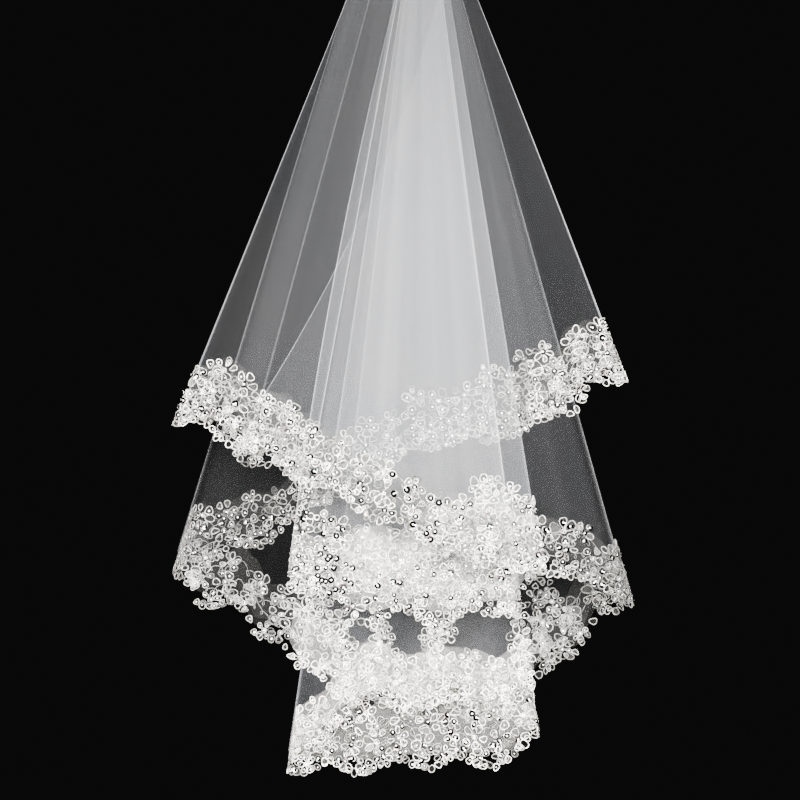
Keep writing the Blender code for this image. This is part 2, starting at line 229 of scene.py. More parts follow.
# The share of the petals with a sequin, of the petals and rings with a dot, and how far these all tilt.
SEQUIN_CHANCE, DOT_CHANCE, DISC_TILT = 0.15, 0.22, 0.2
SEQUIN_RADIUS, SEQUIN_SIZES, SEQUIN_SIDES = 3.3, (0.75, 1.1), 10
SEQUIN_HOLE, SEQUIN_CUP, SEQUIN_LIFT = 0.42, 0.8, 3.3
BEAD_RADIUS, BEAD_SIDES, BEAD_LIFT, BEAD_DOME = 1.15, 7, 2.9, (0.5, 0.2)
DOT_RADIUS, DOT_SIZES = 0.9, (0.8, 1.6)
# The cord's colour is painted with shade low at the sides, where less light reaches it: off SHADE_SIDE and
# below SHADE_DROP.
SHADE_MIDDLE, SHADE_SIDE, SHADE_DROP, SHADE_FADE = 8.0, 122.0, 565.0, 35.0
# How much painted shade darkens the cord there, on the right stretch, and on the rear one, in the shade of
# the layers in front, whose nets cast no shadow.
SHADE_LOW, SHADE_RIGHT, SHADE_REAR = 0.5, 0.62, 0.52

# The band and the comb, the same as the solids', and the band's puckers.
BAND_HALF_DEPTH, BAND_WALL, BAND_LEFT, BAND_RIGHT, BAND_BASE, BAND_ROOM = 9.4, 1.8, -59.0, 56.0, -11.0, 0.6
TOOTH_COUNT, COMB_WIDTH, COMB_TOP, COMB_BAR, COMB_THICK, TOOTH_WIDTH = 18, 96.0, -2.0, 7.0, 2.4, 2.4
COMB_GAP = 0.3  # between the band and the comb
BAND_COLUMNS, BAND_SIDE_POINTS, BAND_ARC_POINTS = 160, 6, 13
PUCKER, PUCKER_PITCHES = 0.045, (2.9, 4.3, 7.1)
STITCH, STITCH_GAP, STITCH_RISE, STITCH_INSET, STITCH_BULGE, STITCH_POINTS = 3.0, 1.4, 2.6, 2.0, 0.15, 5
# The threads between the comb's teeth, and how far they pass behind and over its bar and into the band.
THREAD_SHIFTS, THREAD_SLANT = (-0.7, 0.0, 0.7), 0.4
THREAD_BEHIND, THREAD_OVER, THREAD_IN = 0.25, 0.3, 0.2
STITCH_RADIUS, THREAD_RADIUS, THREAD_SIDES = 0.22, 0.2, 5

# The photograph's view in metres: its width at the origin's depth, its distance, and its middle.
VIEW_WIDTH, VIEW_DISTANCE, VIEW_X, VIEW_Z = 0.864, 3.0, -0.0119, -0.4968
SENSOR = 36.0

# The studio, in metres. The lights are (name, place, width, power in watts), and look at LIT_SPOT.
FLOOR_RADIUS, FLOOR_SIDES, FLOOR_HEIGHT = 1.1, 96, -1.25
LIGHTS = (
    ("key", (-1.0, -3.2, 0.5), 1.6, 250),
    ("fill", (1.5, -3.0, -0.3), 1.8, 170),
    ("back", (0.6, 2.8, 0.4), 1.8, 110),
)
LIT_SPOT = (0, 0, -0.45)
STUDIO_GREY = 0.018


# --------------------the cloth's shape


Cloth = namedtuple("Cloth", "x_top x_low bow y_top y_low drop veil dense along spans")


def between(table, share):
    """The values at shares of the way along a table of (share, value)."""
    return np.interp(share, [row[0] for row in table], [row[1] for row in table])


def layer_depth(layer):
    """How far back a layer is at the gathers."""
    return (layer - MIDDLE_LAYER) * LAYER_PITCH


def turn_size(first, second):
    """Half width of the turn between two sheets, at the gathers and at LOW."""
    top = abs(layer_depth(first.layer) - layer_depth(second.layer)) / 2
    low = abs(first.y_end - second.y_start) / 2
    return FOLD_ROUND * top, FOLD_ROUND * low


def turns(tier, index):
    """Whether the cloth turns round after this sheet."""
    return 0 <= index < len(tier) - 1 and tier[index].layer != tier[index + 1].layer


def line(distance):
    """How much of a line's extra density is left at a distance from it."""
    return np.exp(-((distance / LINE_WIDTH) ** 2))


def sheet_part(tier, index):
    """One sheet's columns, as rows of (x_top, x_low, bow, y_top, y_low, drop, veil, dense)."""
    sheet = tier[index]
    start, end = CREASES[sheet.start], CREASES[sheet.end]
    way = 1 if end.x_low > start.x_low else -1
    tops, lows = [start.x_top, end.x_top], [start.x_low, end.x_low]
    for side, other in ((0, index - 1), (1, index)):
        if turns(tier, other):
            inset_top, inset_low = turn_size(tier[other], tier[other + 1])
            tops[side] += (1 - 2 * side) * way * inset_top
            lows[side] += (1 - 2 * side) * way * inset_low
    middle_drop = float(between(sheet.hem, 0.5))
    width = abs(np.interp(middle_drop, (0, LOW), (tops[1] - tops[0], lows[1] - lows[0])))
    share = np.linspace(0, 1, max(LEAST_COLUMNS, round(width / COLUMN_STEP)) + 1)
    lines = []
    if index == 0:
        lines.append((0, EDGE_VEIL))
    if index == len(tier) - 1:
        lines.append((1, EDGE_VEIL))
    if (sheet.node, sheet.start) in PRESSED:
        lines.append(PRESSED[sheet.node, sheet.start])
    near = np.array(LINE_COLUMNS) * LINE_WIDTH / width
    share = np.concatenate([share, *(at + near for at, _ in lines)])
    share = np.unique(share[(share >= 0) & (share <= 1)])
    middle = 4 * share * (1 - share)
    depth = sheet.y_start + (sheet.y_end - sheet.y_start) * share + sheet.bulge * middle
    depth += sheet.flute * np.sqrt(middle) * np.sin(math.tau * sheet.waves * share)
    dense = 1 + sum(veil / sheet.veil * line(abs(at - share) * width) for at, veil in lines)
    return np.column_stack([
        tops[0] + (tops[1] - tops[0]) * share,
        lows[0] + (lows[1] - lows[0]) * share,
        start.bow + (end.bow - start.bow) * share,
        np.full_like(share, layer_depth(sheet.layer)),
        depth,
        between(sheet.hem, share),
        np.full_like(share, sheet.veil),
        dense + np.zeros_like(share),
    ])


def turn_part(tier, index):
    """The columns round the crease after a sheet, without its two ends."""
    first, second = tier[index], tier[index + 1]
    crease = CREASES[first.end]
    way = 1 if crease.x_low > CREASES[first.start].x_low else -1
    half_top, half_low = turn_size(first, second)
    step = np.arange(1, TURN_STEPS) / TURN_STEPS
    angle = math.pi * (step - 0.5)
    out, over = way * (np.cos(angle) - 1), (1 + np.sin(angle)) / 2
    inset = abs(out) * half_low * float(between(first.hem, 1)) / LOW * TURN_SPREAD
    return np.column_stack([
        crease.x_top + out * half_top,
        crease.x_low + out * half_low,
        np.full_like(step, crease.bow),
        layer_depth(first.layer) + (layer_depth(second.layer) - layer_depth(first.layer)) * over,
        first.y_end + (second.y_start - first.y_end) * over,
        float(between(first.hem, 1)) * (1 - step) + float(between(second.hem, 0)) * step,
        first.veil + (second.veil - first.veil) * step,
        1 + CREASE_VEIL / first.veil * line(inset),
    ])


def smoothed(values, along, width):
    """Values averaged over a distance along the cloth."""
    weights = np.exp(-0.5 * ((along[:, None] - along[None, :]) / width) ** 2)
    gaps = np.gradient(along)
    return (weights * gaps) @ values / (weights @ gaps)


def hem_lengths(cloth):
    """How far along the hem each column is, measured level."""
    ends = place(cloth, np.arange(len(cloth.drop)), cloth.drop)[:, :2]
    return np.concatenate([[0.0], np.cumsum(np.linalg.norm(np.diff(ends, axis=0), axis=1))])


def make_cloth(tier):
    """All columns of a tier, and for each node its first and last one."""
    parts, spans = [], {}
    count = 0
    for index, sheet in enumerate(tier):
        first = max(0, count - 1)
        made = sheet_part(tier, index)
        if turns(tier, index - 1):
            made = np.vstack([turn_part(tier, index - 1), made])
        elif index:
            made = made[1:]
        parts.append(made)
        count += len(made)
        spans[sheet.node] = (spans.get(sheet.node, (first, 0))[0], count - 1)
    rows = np.vstack(parts)
    cloth = Cloth(*rows.T, along=None, spans=spans)
    along = hem_lengths(cloth)
    ripple, streak = (
        sum(np.sin(math.tau * (along / length + rng.random())) for length in lengths)
        for lengths in (RIPPLE_LENGTHS, STREAK_LENGTHS)
    )
    cloth = cloth._replace(
        drop=smoothed(cloth.drop, along, HEM_SMOOTHING),
        y_low=cloth.y_low + RIPPLE * ripple,
        dense=cloth.dense * (1 + STREAK * streak),
    )
    return cloth._replace(along=hem_lengths(cloth))


def place(cloth, columns, drop):
    """Where columns, as numbers that need not be whole, are at drops below the gathers."""
    known = np.arange(len(cloth.drop))

    def read(values):
        return np.interp(columns, known, values)

    t = np.maximum(0.0, (drop - NECK) / (LOW - NECK))
    x_top, y_top = read(cloth.x_top), read(cloth.y_top)
    x = x_top + (read(cloth.x_low) - x_top) * t + read(cloth.bow) * 4 * t * (1 - t)
    y = y_top + (read(cloth.y_low) - y_top) * t
    return np.stack([x, y, -np.broadcast_to(drop, np.shape(x))], axis=-1)


def surface(cloth, along, drop, out=0.0):
    """Points of the cloth at distances along its hem and drops, moved out off its face, and that face."""
    known = np.arange(len(cloth.drop))
    points = place(cloth, np.interp(along, cloth.along, known), drop)
    before = place(cloth, np.interp(along - FACE_STEP, cloth.along, known), drop)
    after = place(cloth, np.interp(along + FACE_STEP, cloth.along, known), drop)
    way = after - before
    way /= np.maximum(np.linalg.norm(way, axis=-1, keepdims=True), TINY)
    face = np.stack([way[..., 1], -way[..., 0], np.zeros_like(way[..., 0])], axis=-1)
    # What reaches past the cloth's cut edge carries on straight.
    past = along - np.clip(along, cloth.along[0], cloth.along[-1])
    return points + way * past[..., None] + face * np.asarray(out)[..., None], face


# --------------------meshes and materials


def add_mesh(name, points, faces, finish, smooth=True, uv=None, attributes=()):
    """An object from points and their uv, both in millimetres, and faces that are all of one size."""
    points = np.asarray(points, dtype=np.float32).reshape(-1, 3) * MM
    faces = np.asarray(faces, dtype=np.int32)
    mesh = bpy.data.meshes.new(name)
    mesh.vertices.add(len(points))
    mesh.vertices.foreach_set("co", points.ravel())
    mesh.loops.add(faces.size)
    mesh.loops.foreach_set("vertex_index", faces.ravel())
    mesh.polygons.add(len(faces))
    mesh.polygons.foreach_set("loop_start", np.arange(len(faces), dtype=np.int32) * faces.shape[1])
    mesh.polygons.foreach_set("use_smooth", np.full(len(faces), smooth))
    if uv is not None:
        layer = mesh.uv_layers.new(name="UVMap")
        flat = np.asarray(uv, dtype=np.float32).reshape(-1, 2) * MM
        layer.data.foreach_set("uv", flat[faces.ravel()].ravel())
    for label, values in attributes:
        made = mesh.attributes.new(label, "FLOAT", "POINT")
        made.data.foreach_set("value", np.asarray(values, dtype=np.float32).ravel())
    mesh.materials.append(finish)
    mesh.update(calc_edges=True)
    mesh.validate()
    made = bpy.data.objects.new(name, mesh)
    bpy.context.scene.collection.objects.link(made)
    return made


def grid_faces(columns, rows):
    """Quads of a grid whose points are numbered row by row within each column."""
    i, j = np.meshgrid(np.arange(columns - 1), np.arange(rows - 1), indexing="ij")
    a = (i * rows + j).ravel()
    return np.column_stack([a, a + 1, a + rows + 1, a + rows])


def fan_faces(count, sides):
    """Triangles of discs whose points are a centre and then a rim."""
    i, j = np.meshgrid(np.arange(count) * (sides + 1), np.arange(sides), indexing="ij")
    return np.column_stack([i.ravel(), (i + 1 + j).ravel(), (i + 1 + (j + 1) % sides).ravel()])


def tube(path, face, radius, sides, closed):
    """Points and quads of round cords along paths of shape (count, points, 3), which lie on faces."""
    if closed:
        way = np.roll(path, -1, axis=1) - np.roll(path, 1, axis=1)
    else:
        way = np.gradient(path, axis=1)
    side = np.cross(way, face)
    side /= np.maximum(np.linalg.norm(side, axis=-1, keepdims=True), TINY)
    up = np.cross(side, way)
    up /= np.maximum(np.linalg.norm(up, axis=-1, keepdims=True), TINY)
    angle = math.tau * (np.arange(sides) + 0.5) / sides
    rim = np.cos(angle)[:, None] * side[:, :, None] + np.sin(angle)[:, None] * up[:, :, None]
    count, steps = path.shape[:2]
    links = steps if closed else steps - 1
    i, j, k = np.meshgrid(np.arange(count), np.arange(links), np.arange(sides), indexing="ij")
    j_next, k_next = (j + 1) % steps, (k + 1) % sides
    corners = ((j, k), (j, k_next), (j_next, k_next), (j_next, k))
    faces = np.column_stack([((i * steps + ring) * sides + spoke).ravel() for ring, spoke in corners])
    return path[:, :, None] + radius * rim, faces


def joined(*meshes):
    """Points and faces of several meshes as one."""
    points, faces = [], []
    count = 0
    for some_points, some_faces in meshes:
        flat = some_points.reshape(-1, 3)
        points.append(flat)
        faces.append(some_faces + count)
        count += len(flat)
    return np.vstack(points), np.vstack(faces)


def new_material(name, colour, roughness, **sockets):
    """A Principled material, its node tree and its shader. Sockets are named with _ for a space."""
    made = bpy.data.materials.new(name)
    made.use_nodes = True
    tree = made.node_tree
    shader = tree.nodes["Principled BSDF"]
    shader.inputs["Base Color"].default_value = (*colour, 1)
    shader.inputs["Roughness"].default_value = roughness
    for label, value in sockets.items():
        shader.inputs[label.replace("_", " ")].default_value = value
    return made, tree, shader


def math_node(tree, operation, *values):
    """A Math node's result from numbers and sockets."""
    node = tree.nodes.new("ShaderNodeMath")
    node.operation = operation
    for socket, value in zip(node.inputs, values):
        if isinstance(value, (int, float)):
            socket.default_value = value
        else:
            tree.links.new(value, socket)
    return node.outputs[0]


def attribute_node(tree, label):
    """The value of the points' attribute of that name."""
    node = tree.nodes.new("ShaderNodeAttribute")
    node.attribute_name = label
    return node.outputs["Fac"]


BAND_PERIOD = 0.314  # Blender's diagonal waves repeat after this distance over their scale
THREAD_POWER = 4.0  # the higher, the finer a net's threads
CLOUD_LEAST, CLOUD_SPREAD = 0.65, 0.7  # how thin a net is where it is thinnest, and how uneven


def wave_node(tree, pitch, space, flip=False):
    """Diagonal bands, one for each pitch in millimetres, that lean the other way with flip."""
    coordinates = tree.nodes.new("ShaderNodeTexCoord")
    mapping = tree.nodes.new("ShaderNodeMapping")
    mapping.inputs["Scale"].default_value = (1, -1 if flip else 1, 1)
    wave = tree.nodes.new("ShaderNodeTexWave")
    wave.bands_direction = "DIAGONAL"
    wave.inputs["Scale"].default_value = BAND_PERIOD / (pitch * MM)
    tree.links.new(coordinates.outputs[space], mapping.inputs["Vector"])
    tree.links.new(mapping.outputs["Vector"], wave.inputs["Vector"])
    return wave.outputs["Fac"]


def noise_node(tree, scale, detail):
    """Noise in the object's own space."""
    coordinates = tree.nodes.new("ShaderNodeTexCoord")
    noise = tree.nodes.new("ShaderNodeTexNoise")
    noise.inputs["Scale"].default_value = scale
    noise.inputs["Detail"].default_value = detail
    tree.links.new(coordinates.outputs["Object"], noise.inputs["Vector"])
    return noise.outputs["Fac"]


def ramp_node(tree, value, *stops):
    """A colour ramp with stops of (place, colour)."""
    ramp = tree.nodes.new("ShaderNodeValToRGB")
    while len(ramp.color_ramp.elements) < len(stops):
        ramp.color_ramp.elements.new(0.5)
    for element, (at, colour) in zip(ramp.color_ramp.elements, stops):
        element.position = at
        element.color = (*colour, 1)
    tree.links.new(value, ramp.inputs["Fac"])
    return ramp.outputs["Color"]


def bump_node(tree, shader, height, strength, distance):
    """Gives a shader a bump from a height."""
    bump = tree.nodes.new("ShaderNodeBump")
    bump.inputs["Strength"].default_value = strength
    bump.inputs["Distance"].default_value = distance
    tree.links.new(height, bump.inputs["Height"])
    tree.links.new(bump.outputs["Normal"], shader.inputs["Normal"])


def net_material(name, dark, light, pitch, holes, threads):
    """Fine net: its alpha is the points' veil, times holes between the threads and threads on them."""
    made, tree, shader = new_material(name, dark, 0.75, Sheen_Weight=0.2, Specular_IOR_Level=0.2)
    waves = [wave_node(tree, pitch, "UV", flip) for flip in (False, True)]
    net = math_node(tree, "POWER", math_node(tree, "MAXIMUM", *waves), THREAD_POWER)
    thread = math_node(tree, "MULTIPLY_ADD", net, threads - holes, holes)
    noise = noise_node(tree, scale=300.0, detail=3.0)
    cloud = math_node(tree, "MULTIPLY_ADD", noise, CLOUD_SPREAD, CLOUD_LEAST)
    clouded = math_node(tree, "MULTIPLY", thread, cloud)
    alpha = math_node(tree, "MULTIPLY", clouded, attribute_node(tree, "veil"))
    tree.links.new(alpha, shader.inputs["Alpha"])
    colour = ramp_node(tree, noise_node(tree, scale=9.0, detail=2.0), (0.35, dark), (0.65, light))
    tree.links.new(colour, shader.inputs["Base Color"])
    return made


def cord_material():
    """Twisted cotton cord, warm ivory, with shade painted where the twist turns away, and darker by the
    points' random tone and painted shade.
    """
    made, tree, shader = new_material("cord", (0.9, 0.88, 0.84), 0.5, Sheen_Weight=0.2)
    # The noise ramp paints shade into the colour where the cord's twist turns from the light.
    noise = noise_node(tree, scale=320.0, detail=1.0)
    colour = ramp_node(tree, noise, (0.4, (0.42, 0.4, 0.36)), (0.6, (0.98, 0.96, 0.9)))
    scale = tree.nodes.new("ShaderNodeVectorMath")
    scale.operation = "SCALE"
    tree.links.new(colour, scale.inputs["Vector"])
    # The points' attribute darkens the colour further by painted shade and by each loop's random tone.
    tree.links.new(math_node(tree, "SUBTRACT", 1.0, attribute_node(tree, "tone_and_painted_shade")), scale.inputs["Scale"])
    tree.links.new(scale.outputs["Vector"], shader.inputs["Base Color"])
    bump_node(tree, shader, wave_node(tree, 1.1, "Object"), strength=0.5, distance=0.0002)
    return made


def mottled_material(name, roughness, noise_scale, *stops, detail=1.0, **sockets):
    """A material whose colour wanders between the stops' colours, with its node tree and shader."""
    made, tree, shader = new_material(name, stops[0][1], roughness, **sockets)
    colour = ramp_node(tree, noise_node(tree, noise_scale, detail), *stops)
    tree.links.new(colour, shader.inputs["Base Color"])
    return made, tree, shader


def sequin_material():
    """Clear cupped sequins, faintly pink and green, that show dark where they reflect the dark studio."""
    pink, grey, green = (0.16, 0.135, 0.14), (0.14, 0.14, 0.135), (0.125, 0.15, 0.135)
    stops = ((0.35, pink), (0.5, grey), (0.65, green))
    return mottled_material("sequin", 0.1, 170.0, *stops, Metallic=1.0)[0]


def bead_material():
    """Small white seed beads and satin dots."""
    stops = ((0.35, (0.97, 0.93, 0.92)), (0.65, (0.93, 0.96, 0.93)))
    return mottled_material("bead", 0.2, 120.0, *stops, Coat_Weight=0.4)[0]


def satin_material():
    """The band's ivory satin, with a fine weave across it."""
    stops = ((0.3, (0.8, 0.78, 0.72)), (0.7, (0.88, 0.86, 0.81)))
    made, tree, shader = mottled_material("satin", 0.38, 45.0, *stops, detail=5.0, Sheen_Weight=0.3)
    bump_node(tree, shader, wave_node(tree, 0.6, "UV"), strength=0.3, distance=0.0001)
    return made


def comb_material():
    """Clear moulded plastic, a little cloudy."""
    stops = ((0.3, (0.8, 0.79, 0.76)), (0.7, (0.9, 0.89, 0.87)))
    made, tree, shader = mottled_material(
        "comb_plastic", 0.22, 35.0, *stops, detail=3.0, Transmission_Weight=0.55, IOR=1.49
    )
    bump_node(tree, shader, noise_node(tree, scale=400.0, detail=2.0), strength=0.1, distance=0.0001)
    return made


def floor_material():
    """Pale matt paper."""
    stops = ((0.3, (0.74, 0.73, 0.71)), (0.7, (0.8, 0.79, 0.77)))
    return mottled_material("floor", 0.9, 3.0, *stops, detail=3.0)[0]


def dress(made, node=None):
    """A new piece rides on the veil and stands for its solid."""
    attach(made, "root")
    if node:
        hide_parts(node)
    return made


# --------------------the tulle


def gather_veil(drop, node):
    """The stacked pleats of the upper tier hide more light below the gathers than at them."""
    if node != "upper":
        return np.ones_like(drop)
    return GATHER_SHARE + (1 - GATHER_SHARE) * np.clip((drop - GATHER_TOP) / GATHER_SPREAD, 0, 1)


def add_tulle(cloth, node):
    """The net of one node: an open sheet from the gathers to a little above the lace's hem."""
    first, last = cloth.spans[node]
    columns = np.arange(first, last + 1)
    shares = np.linspace(0, 1, TULLE_ROWS) ** ROW_CROWDING
    bottom = cloth.drop[columns] - TULLE_SHORT
    drop = NECK / 2 + (bottom[:, None] - NECK / 2) * shares[None, :]
    along = np.broadcast_to(cloth.along[columns][:, None], drop.shape)
    points, _ = surface(cloth, along, drop)
    pleat = np.sin(math.tau * along / GATHER_PITCH) * np.exp(-drop / GATHER_FADE)
    points[..., 1] += GATHER_DEPTH * pleat
    dense = np.broadcast_to(cloth.dense[columns][:, None], drop.shape)
    if node == "rear":
        at_edge = along > cloth.along[last] - REAR_EDGE_WIDTH
        hidden = at_edge * np.clip((REAR_EDGE_SHOWS - drop) / REAR_EDGE_FADE, 0, 1)
        dense = dense + (1 - dense) * hidden
    veil = cloth.veil[columns][:, None] * dense * (1 + GATHER_VEIL * pleat) * gather_veil(drop, node)
    made = add_mesh(
        f"net_{node}", points, grid_faces(len(columns), TULLE_ROWS), TULLE,
        uv=np.stack([along, drop], axis=-1), attributes=[("veil", veil)],
    )
    dress(made, f"tulle_{node}")
    made.visible_shadow = False
    return made


# --------------------the lace


# A closed loop of cord: where its flower's middle is, how far off the ground it lies, how far out of the
# middle it is, its half width and half length, its direction, how closely it is filled, and whether a sequin
# or a dot sits in it.
LOOP_COLUMNS = "along height lift reach width length turn veil sequin bead"
LOOP = np.dtype([(name, float) for name in LOOP_COLUMNS.split()])


def local_points(cloth, along, drop, a, b, out):
    """Points a across and b up from places on the cloth, following its bends, and the face's way there."""
    here, _ = surface(cloth, along, drop)
    beside, _ = surface(cloth, along + MOVE_STEP, drop)
    below, _ = surface(cloth, along, drop + MOVE_STEP)
    across, down = (beside - here) / MOVE_STEP, (below - here) / MOVE_STEP
    width = np.maximum(np.linalg.norm(across, axis=-1), LEAST_STRETCH)
    lean = np.sum(across * down, axis=-1) / width
    fall = np.sqrt(np.maximum(np.sum(down * down, axis=-1) - lean * lean, LEAST_STRETCH))
    move_drop = -b / fall[:, None]
    move_along = (a - lean[:, None] * move_drop) / width[:, None]
    return surface(cloth, along[:, None] + move_along, drop[:, None] + move_drop, out)


def scallop(along):
    """How far the edging's outline hangs out of its middle line."""
    return WAVE_LOBE * np.sin(math.tau * along / WAVE)


def flower_places(start, end, node):
    """The flowers of a stretch of lace, as (along, height above the hem, radius)."""
    rows = [(height, 0.0, 1.0, pitch, radius) for height, pitch, radius in FLOWER_ROWS]
    rows += [(*row, LAPPED_PITCH, LAPPED_RADIUS) for row in LAPPED_ROWS.get(node, ())]
    found = []
    for height, first, last, pitch, radius in rows:
        count = max(1, round((end - start) * (last - first) / pitch))
        along = start + (end - start) * (first + (last - first) * (np.arange(count) + 0.5) / count)
        along += rng.uniform(-FLOWER_STRAY, FLOWER_STRAY, count)
        edge = min(radius * FLOWER_INSIDE, (end - start) / 2)
        along = np.clip(along, start + edge, end - edge)
        stray = rng.uniform(-FLOWER_STRAY, FLOWER_STRAY, count)
        stray *= LOW_STRAY if height < radius * LOW_ROW else 1
        radii = radius * rng.uniform(*FLOWER_SIZES, count)
        found.append(np.column_stack([along, height - scallop(along - start) + stray, radii]))
    return np.vstack(found)


def hem_rings(start, end):
    """The rings of cord that are bunched along the hem."""
    count = round((end - start) / RING_PITCH)
    made = np.zeros(count, dtype=LOOP)
    made["along"] = start + (end - start) * (np.arange(count) + 0.5) / count
    stray = rng.uniform(-RING_STRAY, RING_STRAY, count)
    made["height"] = RING_HEIGHT + stray - scallop(made["along"] - start)
    made["lift"] = rng.uniform(*RING_LIFTS, count)
    made["width"] = rng.uniform(*RING_SIZES, count)
    made["length"] = rng.uniform(*RING_SIZES, count)
    made["turn"] = rng.uniform(0, math.tau, count)
    made["veil"] = rng.choice(PETAL_VEILS, count, p=PETAL_CHANCES)
    made["bead"] = rng.random(count) < DOT_CHANCE
    return made


def flower_loops(flowers):
    """Every petal and middle ring of the flowers."""
    rows = []
    for along, height, radius in flowers:
        petals = int(rng.choice(PETAL_COUNTS))
        start = rng.uniform(0, math.tau)
        for petal in range(petals):
            size = rng.uniform(*PETAL_SIZES)
            turn = start + math.tau * petal / petals + rng.uniform(-PETAL_TURN, PETAL_TURN)
            width = radius * math.sin(math.pi / petals) * rng.uniform(*PETAL_WIDTHS) * size
            length = radius * rng.uniform(*PETAL_LENGTHS) * size
            lift = PETAL_LIFT + PETAL_OVER * (petal % 2)
            veil = rng.choice(PETAL_VEILS, p=PETAL_CHANCES)
            reach = radius - length
            kind = rng.random()
            has_sequin, has_dot = kind < SEQUIN_CHANCE, kind > 1 - DOT_CHANCE
            rows.append((along, height, lift, reach, width, length, turn, veil, has_sequin, has_dot))
            if rng.random() < INNER_CHANCE:
                inner = rng.uniform(*INNER_SIZES)
                shape = reach - INNER_BACK * length, width * inner, length * inner, turn
                rows.append((along, height, lift + INNER_OVER, *shape, 0, 0, 0))
        has_sequin = rng.random() < MIDDLE_SEQUIN
        shape = 0.0, MIDDLE_RADIUS, MIDDLE_RADIUS, 0.0
        rows.append((along, height, MIDDLE_LIFT, *shape, MIDDLE_VEIL, has_sequin, not has_sequin))
    return np.array(rows, dtype=LOOP)


def outlines(loops):
    """The loops as points across and up from their flowers' middles, each of shape (count, LOOP_POINTS)."""
    angle = np.linspace(0, math.tau, LOOP_POINTS, endpoint=False)[None, :]
    lean = rng.uniform(0, math.tau, (2, len(loops), 1))
    two, three = LOOP_WOBBLES
    wobble = 1 + two * np.cos(2 * angle + lean[0]) + three * np.cos(3 * angle + lean[1])
    taper = 1 - LOOP_TAPER + LOOP_TAPER * np.cos(angle)
    along = loops["reach"][:, None] + loops["length"][:, None] * np.cos(angle) * wobble
    side = loops["width"][:, None] * np.sin(angle) * wobble * taper
    cos, sin = np.cos(loops["turn"])[:, None], np.sin(loops["turn"])[:, None]
    return along * cos - side * sin, along * sin + side * cos


def curls(cloth, start, end, height, radius):
    """A cord in curls along the lace, as one path and its faces."""
    count = max(2, round((end - start) / CURL_PITCH))
    t = np.linspace(0, count, count * CURL_POINTS + 1)
    swell, rate = CURL_SWELL
    size = radius * (1 + swell * np.sin(t * rate + rng.uniform(0, math.tau)))
    along = start + (end - start) * t / count + size * np.sin(math.tau * t) * CURL_REACH
    along = np.clip(along, start + CURL_INSIDE, end - CURL_INSIDE)
    drift = sum(most * np.sin(t * pace + rng.uniform(0, math.tau)) for most, pace in CURL_DRIFTS)
    up = height - scallop(along - start) + drift + size * np.cos(math.tau * t)
    drop = np.interp(along, cloth.along, cloth.drop) - up
    lift = LACE_OUT + CURL_RADIUS + CURL_LIFT + CURL_LIFT * np.sin(math.tau * t)
    path, face = surface(cloth, along, drop, lift)
    return path[None], face[None]


def middle_drops(cloth, loops):
    """How far below the gathers the middles of the loops' flowers are."""
    return np.interp(loops["along"], cloth.along, cloth.drop) - loops["height"]


def discs(cloth, loops, a, b, radius, sides, lift):
    """Small discs a across and b up from loops' middles, tilted a little: their middles, rims and faces."""
    drop = middle_drops(cloth, loops)
    centre, face = local_points(cloth, loops["along"], drop, a[:, None], b[:, None], lift + LACE_OUT)
    centre, face = centre[:, 0], face[:, 0] + rng.normal(0, DISC_TILT, (len(loops), 3))
    face /= np.linalg.norm(face, axis=-1, keepdims=True)
    side = np.cross(face, np.array([0.0, 0.0, 1.0]))
    side /= np.linalg.norm(side, axis=-1, keepdims=True)
    up = np.cross(side, face)
    angle = np.linspace(0, math.tau, sides, endpoint=False)[:, None]
    spokes = np.cos(angle) * side[:, None] + np.sin(angle) * up[:, None]
    return centre, centre[:, None] + np.reshape(radius, (-1, 1, 1)) * spokes, face


def add_sequins(cloth, node, loops, a, b):
    """Cupped sequins with a hole, the beads that hold them, and the dots in the loops without one."""
    chosen, dotted = loops["sequin"] > 0, loops["bead"] > 0
    radius = SEQUIN_RADIUS * rng.uniform(*SEQUIN_SIZES, chosen.sum())
    centre, outer, face = discs(
        cloth, loops[chosen], a[chosen], b[chosen], radius, SEQUIN_SIDES, SEQUIN_LIFT
    )
    inner = centre[:, None] + SEQUIN_HOLE * (outer - centre[:, None]) - SEQUIN_CUP * face[:, None]
    points = np.stack([outer, inner], axis=2)
    i, j = np.meshgrid(np.arange(len(points)) * SEQUIN_SIDES, np.arange(SEQUIN_SIDES), indexing="ij")
    here, after = ((i + j) * 2).ravel(), ((i + (j + 1) % SEQUIN_SIDES) * 2).ravel()
    faces = np.column_stack([here, after, after + 1, here + 1])
    sequins = add_mesh(f"sequins_{node}", points, faces, SEQUIN, smooth=False)
    held = [np.concatenate([values[chosen], values[dotted]]) for values in (loops, a, b)]
    dots = rng.uniform(*DOT_SIZES, dotted.sum()) * DOT_RADIUS
    size = np.concatenate([np.full(chosen.sum(), BEAD_RADIUS), dots])
    centre, rim, face = discs(cloth, *held, size, BEAD_SIDES, BEAD_LIFT)
    rise, swell = BEAD_DOME
    tops = (centre + face * (rise + swell * size)[:, None])[:, None]
    points = np.concatenate([tops, rim], axis=1)
    beads = add_mesh(f"beads_{node}", points, fan_faces(len(points), BEAD_SIDES), BEAD)
    return sequins, beads


def painted_shade(points, node):
    """How much painted shade darkens the cord at points."""
    side = np.clip((abs(points[:, 0] - SHADE_MIDDLE) - SHADE_SIDE) / SHADE_FADE, 0, 1)
    low = np.clip((-points[:, 2] - SHADE_DROP) / SHADE_FADE, 0, 1)
    if node == "right":
        return np.full(len(points), SHADE_RIGHT)
    if node == "rear":
        return np.maximum(SHADE_LOW * side * low, SHADE_REAR * (side == 0))
    return SHADE_LOW * side * low


